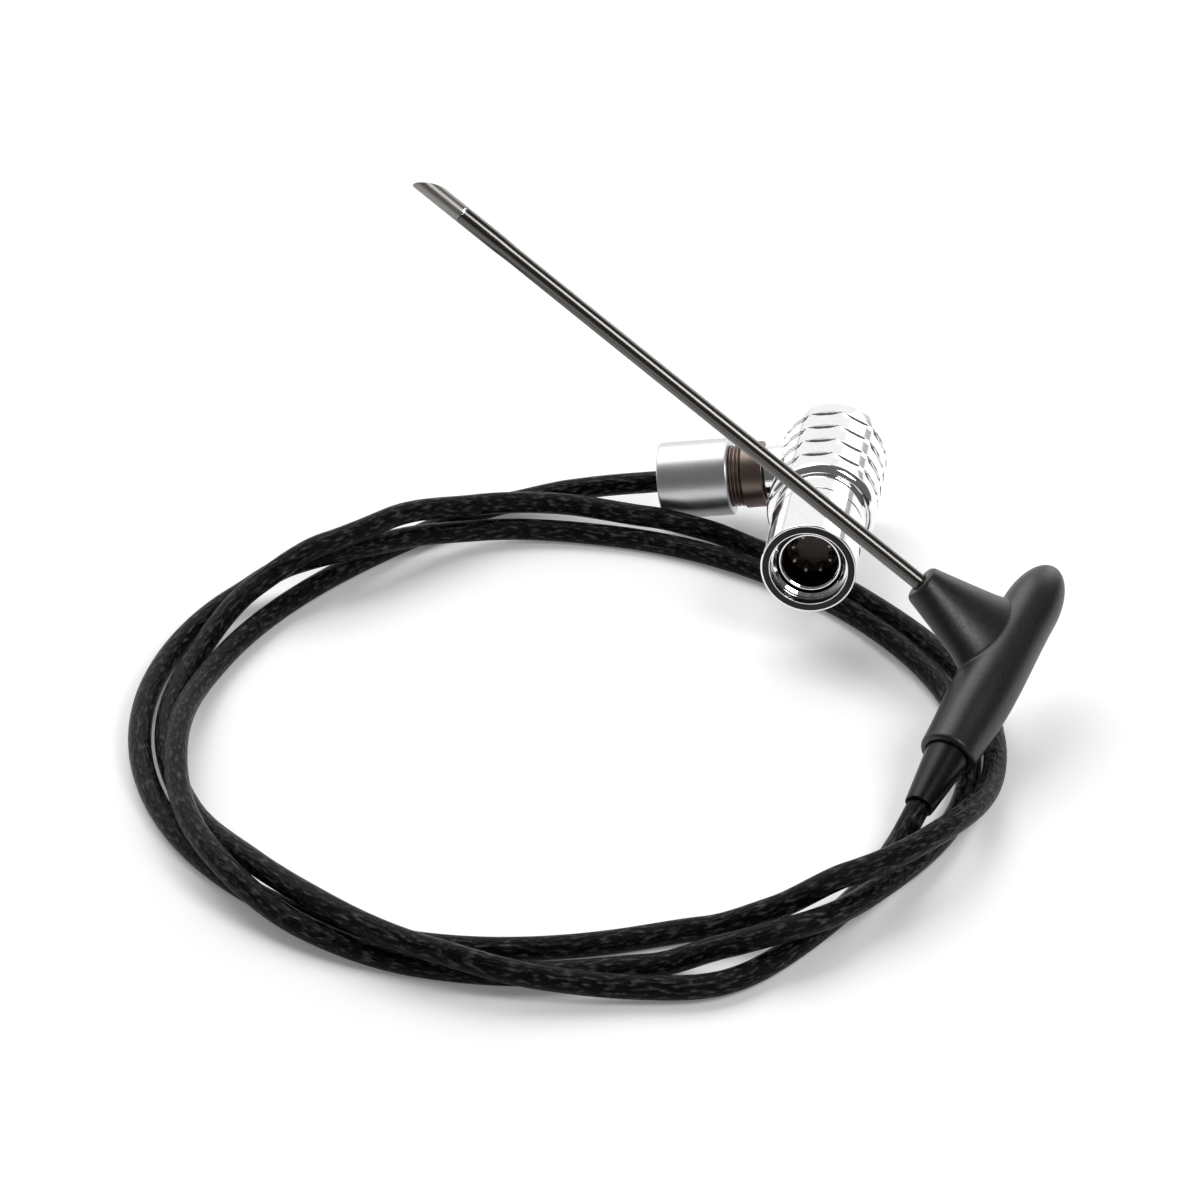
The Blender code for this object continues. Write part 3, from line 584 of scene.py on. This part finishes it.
def makeGrip(finishes):
    body = pieceFromRings("gripMoulding", crossbarRings(), gripFrame)
    combine(body, pieceFromRings("neckShape", neckRings(), neckFrame), "UNION")
    applyStep(body, "REMESH", mode="VOXEL", voxel_size=grip["voxel"], use_smooth_shade=True)
    applyStep(body, "SMOOTH", factor=grip["melt"], iterations=grip["meltPasses"])
    radius, start, end = grip["socketRadius"], -grip["cutPast"], grip["socketDepth"]
    socket = [(0.0, start), (radius, start), (radius, end), (0.0, end)]
    combine(body, turnedPiece("socketCut", socket, gripFrame, grip["sides"]), "DIFFERENCE")
    radius, start, end = grip["holeRadius"], grip["holeStart"], grip["neckReach"] + grip["cutPast"]
    hole = [(0.0, start), (radius, start), (radius, end), (0.0, end)]
    combine(body, turnedPiece("needleCut", hole, neckFrame, grip["holeSides"]), "DIFFERENCE")
    body.data.name = "gripMoulding"
    body.data.materials.clear()
    body.data.shade_smooth()
    body.data.set_sharp_from_angle(angle=grip["crease"])
    seat(body, "probe", "grip_rubber", finishes["grip"], "grip_body")
    print("grip moulded:", len(body.data.polygons), "faces")


# Bend boot, over the cable's first stretch, with a lip at its narrow end
boot = {
    "hole": 0.00305, "endRadius": 0.00345, "rootRadius": 0.0052, "length": 0.0160, "depth": 0.0087,
    "lip": 0.00035, "lipStep": 0.0001, "holeRound": 0.0001, "rootRound": 0.0015, "rootGap": 0.0003,
    "sides": 96,
}


def makeBoot(finishes):
    end, lip = -boot["length"], boot["lip"]
    corners = [(boot["hole"], end, boot["holeRound"]), (boot["endRadius"], end, lip / 2),
               (boot["endRadius"] + boot["lipStep"], end + lip * 2),
               (boot["rootRadius"], -boot["rootGap"], boot["rootRound"]),
               (boot["rootRadius"], boot["depth"]), (boot["hole"], boot["depth"])]
    piece = turnedPiece("bootSleeve", corners, gripFrame, boot["sides"])
    seat(piece, "probe", "boot_rubber", finishes["boot"], "bend_boot")


# Needle: polished tube with a slightly swaged end, and a ground point
needle = {
    "radius": 0.0020, "bore": 0.0016, "root": 0.0050, "reach": 0.1773, "swage": 0.00215,
    "swageLength": 0.0100, "taper": 0.0060, "tipLength": 0.0130, "bevel": math.radians(31.0),
    "shoulder": 0.0042, "seamDepth": 0.00012, "lastRing": 0.00005, "thinnest": 0.999,
    "sides": 96, "taperSteps": 24, "groundSteps": 80,
}
needle["seam"] = needle["reach"] - needle["tipLength"]


def makeNeedle(finishes):
    radius, swage, bore = needle["radius"], needle["swage"], needle["bore"]
    seam, groove, taper = needle["seam"], needle["seamDepth"], needle["taper"]
    taperStart = seam - needle["swageLength"] - taper
    tube = [(bore, needle["root"]), (radius, needle["root"])]
    for share in shares(needle["taperSteps"]):
        tube.append((eased(radius, swage, share), taperStart + taper * share))
    tube += [(swage, seam - groove), (swage - groove, seam), (bore, seam)]
    piece = turnedPiece("needleShaft", tube, neckFrame, needle["sides"])
    seat(piece, "probe", "polished_steel", finishes["needle"], "needle_tube")


def groundRing(radius, ground, height, sides):
    # A circle cut by a chord at x = ground; past the middle the chord is kept evenly divided
    if ground <= 0:
        return [(max(x, ground), y, z) for x, y, z in ringOf(radius, height, sides)]
    half = math.acos(ground / radius)
    points = []
    for k in range(sides):
        a = math.pi * (2 * k / sides - (2 if k > sides / 2 else 0))
        if abs(a) <= math.pi / 2:
            mark = a * half * 2 / math.pi
            points.append((radius * math.cos(mark), radius * math.sin(mark), height))
        else:
            points.append((ground, radius * math.sin(half) * math.sin(a), height))
    return points


def makePoint(finishes):
    # Each ring of the tip is cut off along the ground face, which starts in a round shoulder
    radius, shoulder, sides = needle["swage"], needle["shoulder"], needle["sides"]
    rise = math.tan(needle["bevel"])
    start = needle["reach"] - 2 * radius / rise
    first = needle["seam"] + needle["seamDepth"]
    last = needle["reach"] - needle["lastRing"]
    rings = [[(0, 0, needle["seam"])], ringOf(radius - needle["seamDepth"], needle["seam"], sides)]
    for share in shares(needle["groundSteps"]):
        height = first + (last - first) * share
        ahead = height - (start - shoulder / 2)
        ground = -radius
        if ahead > 0:
            ground += rise * (ahead ** 2 / (2 * shoulder) if ahead < shoulder else ahead - shoulder / 2)
        rings.append(groundRing(radius, min(ground, radius * needle["thinnest"]), height, sides))
    rings.append([(radius, 0, needle["reach"])])
    tip = pieceFromRings("needlePoint", rings, neckFrame)
    seat(tip, "probe", "polished_steel", finishes["point"], "needle_tip")


# Weld bead in the seam: a ball pressed flat, whose middle lies at a share of the tube's radius
weld = {"size": 0.00062, "turn": math.radians(74), "sunk": 0.985, "press": (0.50, 1.60, 0.62, 1),
        "arcSteps": 12, "sides": 24}


def makeWeld(finishes):
    size, turn, steps = weld["size"], weld["turn"], weld["arcSteps"]
    bead = []
    for k in range(steps + 1):
        a = math.pi * k / steps
        bead.append(ringOf(size * math.sin(a), -size * math.cos(a), weld["sides"]))
    depth = needle["swage"] * weld["sunk"]
    middle = Vector((depth * math.cos(turn), depth * math.sin(turn), needle["seam"]))
    squash = Matrix.Rotation(turn, 4, "Z") @ Matrix.Diagonal(weld["press"])
    piece = pieceFromRings("weldBead", bead, neckFrame @ Matrix.Translation(middle) @ squash)
    # The bead's shape is a real weld; its pale chrome finish, far paler than the needle's steel, paints the
    # highlight at the seam
    seat(piece, "probe", "polished_steel", finishes["chrome"])


# Plug: the latching core in front. Depths and stations are measured back from the mouth.
core = {
    "noseRadius": 0.0117, "noseLength": 0.0213, "mouthRadius": 0.0094, "mouthDepth": 0.0025,
    "boreRadius": 0.0082, "shoulderStation": 0.0225, "webRadius": 0.0060, "webThickness": 0.0020,
    "sleeveRadius": 0.0094, "sleeveEnd": 0.0445, "sleeveBore": 0.0084, "flangeRadius": 0.0105,
    "flangeLength": 0.0015, "ringLength": 0.0081, "ringRound": 0.0004, "gap": 0.0003,
    "guideBore": 0.0068, "guideOuter": 0.0079, "guideRecess": 0.0035, "guideEdge": 0.0004,
    "edge": 0.0007, "edgeRound": 0.0002, "lipRound": 0.00012, "backRound": 0.00015,
    "rimInner": 0.00962, "rimOuter": 0.01126, "rimRound": 0.00030,
    "slotStation": 0.0092, "slotLength": 0.0030, "slotWidth": 0.0018, "slotDepth": 0.0007,
    "slotPast": 0.001, "slotSides": 32, "slotTurns": (math.radians(356.4), math.radians(176.4)),
}
# Margins of the faces that take painted shade: around a face, and clear of its neighbours
near, clear = 0.0001, 0.0003


def paintShade(piece, finish, spans):
    # Faces between two radii and two heights on the plug's axis take the darker finish, as painted shade or a
    # painted dark reflection
    piece.data.materials.append(finish)
    turnBack = plugFrame.inverted()
    for face in piece.data.polygons:
        spot = turnBack @ face.center
        across = math.hypot(spot.x, spot.y)
        if any(inner < across < outer and low < spot.z < high for inner, outer, low, high in spans):
            face.material_index = 1


def latchSlot(turn):
    # Oblong window in the nose's side, seen as a short dark mark; its walls take painted shade
    bend = core["slotWidth"] / 2
    straight = (core["slotLength"] - core["slotWidth"]) / 2
    oblong = []
    for k, a in enumerate(fullTurn(core["slotSides"])):
        shift = straight if k < core["slotSides"] / 2 else -straight
        oblong.append((bend * math.cos(a), bend * math.sin(a) + shift))
    rings = []
    for reach in (core["noseRadius"] - core["slotDepth"], core["noseRadius"] + core["slotPast"]):
        rings.append([(reach * math.cos(turn) - u * math.sin(turn),
                       reach * math.sin(turn) + u * math.cos(turn), v - core["slotStation"])
                      for u, v in oblong])
    return pieceFromRings("latchSlot", rings, plugFrame)


def makeNose(finishes):
    edge, soft = core["edge"], core["edgeRound"]
    nose, sleeve, flange = core["noseRadius"], core["sleeveRadius"], core["flangeRadius"]
    mouth, deep, bore = core["mouthRadius"], -core["mouthDepth"], core["boreRadius"]
    back, end, shoulder = -core["noseLength"], -core["sleeveEnd"], -core["shoulderStation"]
    web = -(core["shoulderStation"] + core["webThickness"])
    outline = [
        (mouth, 0.0, core["lipRound"]), (core["rimInner"], 0.0), (core["rimOuter"], 0.0),
        (nose, 0.0, core["rimRound"]), (nose, back, core["backRound"]), (sleeve, back),
        (sleeve, end + core["flangeLength"]), (flange, end + core["flangeLength"]), (flange, end),
        (core["sleeveBore"], end), (core["sleeveBore"], web), (core["webRadius"], web),
        (core["webRadius"], shoulder), (bore, shoulder), (bore, deep - edge, soft),
        (bore + edge, deep, soft), (mouth, deep, soft),
    ]
    piece = turnedPiece("noseShell", outline, plugFrame)
    for turn in core["slotTurns"]:
        combine(piece, latchSlot(turn), "DIFFERENCE")
    piece.data.materials.clear()
    piece.data.set_sharp_from_angle(angle=shaping["crease"])
    seat(piece, "plug_core", "bright_chrome", finishes["chrome"], "plug_nose")
    slot, length = -core["slotStation"], core["slotLength"]
    # Painted dark reflection on the front ring; painted shade in the latch slots, on the mouth's wall and
    # step and in the bore
    paintShade(piece, finishes["rim"], [
        (core["rimInner"], core["rimOuter"], -near, near),
        (nose - core["slotDepth"] - near, nose - near, slot - length, slot + length),
        (mouth - near / 2, mouth + near / 2, deep + clear, -clear),
        (bore + edge + soft, mouth - clear, deep - near, deep + near),
        (bore - near, bore + near, shoulder, deep - edge - clear),
    ])


def makeCouplingRing(finishes):
    front = -core["noseLength"] - core["gap"]
    rear = front - core["ringLength"]
    hole = core["sleeveRadius"] + core["gap"]
    ring = [(hole, front), (core["noseRadius"], front, core["ringRound"]),
            (core["noseRadius"], rear, core["ringRound"]), (hole, rear)]
    piece = turnedPiece("couplingRing", ring, plugFrame)
    seat(piece, "plug_core", "bright_chrome", finishes["chrome"], "coupling_ring")


def makeGuideSleeve(finishes):
    bore, outer = core["guideBore"], core["guideOuter"]
    edge, soft = core["guideEdge"], core["edgeRound"]
    top, end = -core["guideRecess"], -(core["shoulderStation"] - core["gap"])
    guide = [(bore, top - edge, soft), (bore + edge, top, soft), (outer - edge, top, soft),
             (outer, top - edge, soft), (outer, end), (bore, end)]
    piece = turnedPiece("guideSleeve", guide, plugFrame)
    seat(piece, "plug_core", "bright_chrome", finishes["chrome"], "guide_sleeve")
    # Painted shade on the guide's bore
    paintShade(piece, finishes["rim"], [(bore - near, bore + near, end, top - edge * 2)])


# Housing with ten-sided ledges, its rear cap and the boss of its side outlet. soft is the
# spacing of the close rings that keep each ledge crisp; ledgeLip is a share of flatDepth.
housing = {
    "radius": 0.0137, "front": 0.0300, "rear": 0.0680, "shoulder": 0.0020, "edge": 0.0007,
    "ledges": 4, "lastLedge": 0.0629, "ledgePitch": 0.0082, "ledgeLength": 0.0026, "ledgeLip": 0.02,
    "flatDepth": 0.00062, "flats": 10, "chordSteps": 7, "soft": 0.00008,
    "shoulderSteps": 12, "edgeSteps": 6, "sleeveHole": 0.0097, "chamberRadius": 0.0109,
    "chamberFront": 0.0330, "chamberEnd": 0.0450, "boreRadius": 0.0096, "gap": 0.0003,
}
cap = {"radius": 0.0103, "thickness": 0.0037, "edge": 0.0007, "seatRound": 0.0002}
boss = {"radius": 0.0072, "hole": 0.0063, "start": 0.0105, "end": 0.0164, "edge": 0.0003,
        "holeRound": 0.0002}


def ledgeSection(depth, station, radius):
    # Round section with ten chords cut to a depth; 0 leaves it round
    half = math.acos((housing["radius"] - housing["flatDepth"]) / housing["radius"])
    steps = housing["chordSteps"]
    points = []
    for side in range(housing["flats"]):
        middle = 2 * math.pi * side / housing["flats"] + math.pi / 2
        for k in range(-steps, steps + 1):
            mark = half * k / steps
            reach = min(radius, (radius - depth) / math.cos(mark)) if depth > 0 else radius
            points.append((reach * math.cos(middle + mark), reach * math.sin(middle + mark), -station))
    return points


def outsideRings():
    radius, edge, shoulder = housing["radius"], housing["edge"], housing["shoulder"]
    soft, deep = housing["soft"], housing["flatDepth"]
    lip = deep * housing["ledgeLip"]
    rings = []
    for a in quarterTurn(housing["shoulderSteps"]):
        rings.append(ledgeSection(0, housing["front"] + shoulder * (1 - math.cos(a)),
                                  radius - shoulder * (1 - math.sin(a))))
    for band in reversed(range(housing["ledges"])):
        ledge = housing["lastLedge"] - housing["ledgePitch"] * band
        top = ledge - housing["ledgeLength"]
        for depth, station in (
                (0, top - soft * 2), (0, top - soft), (lip, top), (deep, top + soft * 0.5),
                (deep, top + soft * 2), (deep, ledge - soft * 2), (deep, ledge - soft * 0.5),
                (lip, ledge), (0, ledge + soft), (0, ledge + soft * 2)):
            rings.append(ledgeSection(depth, station, radius))
    for a in quarterTurn(housing["edgeSteps"]):
        rings.append(ledgeSection(0, housing["rear"] - edge * (1 - math.sin(a)),
                                  radius - edge * (1 - math.cos(a))))
    return rings


def insideRings():
    seatDepth = housing["rear"] - cap["thickness"] - housing["gap"]
    capHole = cap["radius"] + housing["gap"]
    steps = [(capHole, housing["rear"]), (capHole, seatDepth), (housing["boreRadius"], seatDepth),
             (housing["boreRadius"], housing["chamberEnd"]),
             (housing["chamberRadius"], housing["chamberEnd"]),
             (housing["chamberRadius"], housing["chamberFront"]),
             (housing["sleeveHole"], housing["chamberFront"]), (housing["sleeveHole"], housing["front"])]
    return [ledgeSection(0, station, inner) for inner, station in steps]


def makeHousing(finishes):
    chrome = finishes["chrome"]
    piece = pieceFromRings("gripHousing", outsideRings() + insideRings(), plugFrame, closed=True)
    seat(piece, "probe", "bright_chrome", chrome, "elbow_housing")
    outline = [(boss["hole"], boss["start"]), (boss["radius"], boss["start"]),
               (boss["radius"], boss["end"], boss["edge"]), (boss["hole"], boss["end"], boss["holeRound"])]
    seat(turnedPiece("outletBoss", outline, outletFrame), "probe", "bright_chrome", chrome)
    back = -housing["rear"]
    front = back + cap["thickness"]
    outline = [(0.0, back), (cap["radius"], back, cap["edge"]), (cap["radius"], front, cap["seatRound"]),
               (0.0, front)]
    seat(turnedPiece("rearCap", outline, plugFrame), "probe", "bright_chrome", chrome, "rear_cap")


# Side outlet: threaded collar and clamp nut. Stations are measured out from the plug's axis;
# where the thread starts, rises and falls are shares of its pitch.
collar = {
    "hole": 0.00305, "spigotStart": 0.0096, "spigotRadius": 0.0060, "radius": 0.0084, "start": 0.0167,
    "end": 0.0221, "edge": 0.0003, "threadRadius": 0.0074, "threadCrest": 0.0079, "threadPitch": 0.0010,
    "threadStart": 0.4, "threadRise": 0.35, "threadFall": 0.6, "rootRound": 0.00005,
    "crestRound": 0.0001, "threadEnd": 0.0305, "underNut": 0.001,
}
nut = {
    "radius": 0.0099, "start": 0.0254, "end": 0.0436, "edge": 0.0006, "hole": 0.0077,
    "coneWide": 0.0068, "coneTight": 0.0053, "coneStart": 0.0308, "coneEnd": 0.0386,
    "grommetHole": 0.0049, "grommetRound": 0.0002,
}


def makeCollar(finishes):
    pitch, root, crest = collar["threadPitch"], collar["threadRadius"], collar["threadCrest"]
    outline = [(collar["hole"], collar["spigotStart"]), (collar["spigotRadius"], collar["spigotStart"]),
               (collar["spigotRadius"], collar["start"]), (collar["radius"], collar["start"], collar["edge"]),
               (collar["radius"], collar["end"], collar["edge"])]
    start = collar["end"] + pitch * collar["threadStart"]
    while start + pitch < nut["start"] + collar["underNut"]:
        outline += [(root, start, collar["rootRound"]),
                    (crest, start + pitch * collar["threadRise"], collar["crestRound"]),
                    (crest, start + pitch * collar["threadFall"], collar["crestRound"])]
        start += pitch
    outline += [(root, start, collar["rootRound"]), (root, collar["threadEnd"]),
                (collar["hole"], collar["threadEnd"])]
    piece = turnedPiece("threadedCollar", outline, outletFrame)
    # The collar takes the dark brown painted reflection
    seat(piece, "probe", "satin_nickel", finishes["collar"], "outlet_collar")


def makeNut(finishes):
    start, end, edge = nut["start"], nut["end"], nut["edge"]
    outline = [(nut["hole"], start), (nut["radius"], start, edge), (nut["radius"], end, edge),
               (nut["grommetHole"], end, nut["grommetRound"]), (nut["grommetHole"], nut["coneEnd"]),
               (nut["coneTight"], nut["coneEnd"]), (nut["coneWide"], nut["coneStart"]),
               (nut["hole"], nut["coneStart"])]
    piece = turnedPiece("clampNut", outline, outletFrame)
    seat(piece, "probe", "satin_nickel", finishes["nut"], "clamp_nut")


def dressNodes(finishes):
    # Solids that are seen as they are, or not at all, keep their own shape
    chosen = {
        "cable_grommet": "boot", "needle_anchor": "spring", "latch_spring": "spring", "cable_collet": "brass",
        "cable_crimp": "brass", "sensor_wire": "brass", "contact_insulator": "resin",
        "core_potting": "potting", "splice_potting": "potting", "grip_cable_tail": "boot",
        "plug_cable_tail": "boot",
    }
    for name, node in nodes.items():
        kind = chosen.get(name)
        if name.startswith("contact_pin"):
            kind = "gold"
        if name.startswith("sensor_bead"):
            kind = "ceramic"
        if kind is None:
            continue
        node.data.materials.clear()
        node.data.materials.append(finishes[kind])
    print("nodes dressed")


def makeCord(finishes):
    line = cordLine()
    piece = makeTube("cableJacket", line, cord["radius"], cord["sides"])
    seat(piece, "probe", "cable_jacket", finishes["jacket"], "sensor_cable")
    plugPieces = ["gripHousing", "outletBoss", "rearCap", "latch_spring", "threadedCollar", "clampNut",
                  "cable_collet", "cable_grommet", "plug_cable_tail", "noseShell", "couplingRing",
                  "guideSleeve", "contact_insulator", "core_potting"]
    plugPieces += [f"contact_pin_{k}" for k in range(1, 9)]


makeCamera()
makeStudio()
makeBench()
print("studio made")
finishes = makeFinishes()
makeGrip(finishes)
makeBoot(finishes)
makeNeedle(finishes)
makePoint(finishes)
makeWeld(finishes)
makeNose(finishes)
makeCouplingRing(finishes)
makeGuideSleeve(finishes)
makeHousing(finishes)
makeCollar(finishes)
makeNut(finishes)
dressNodes(finishes)
makeCord(finishes)
print("pieces made")
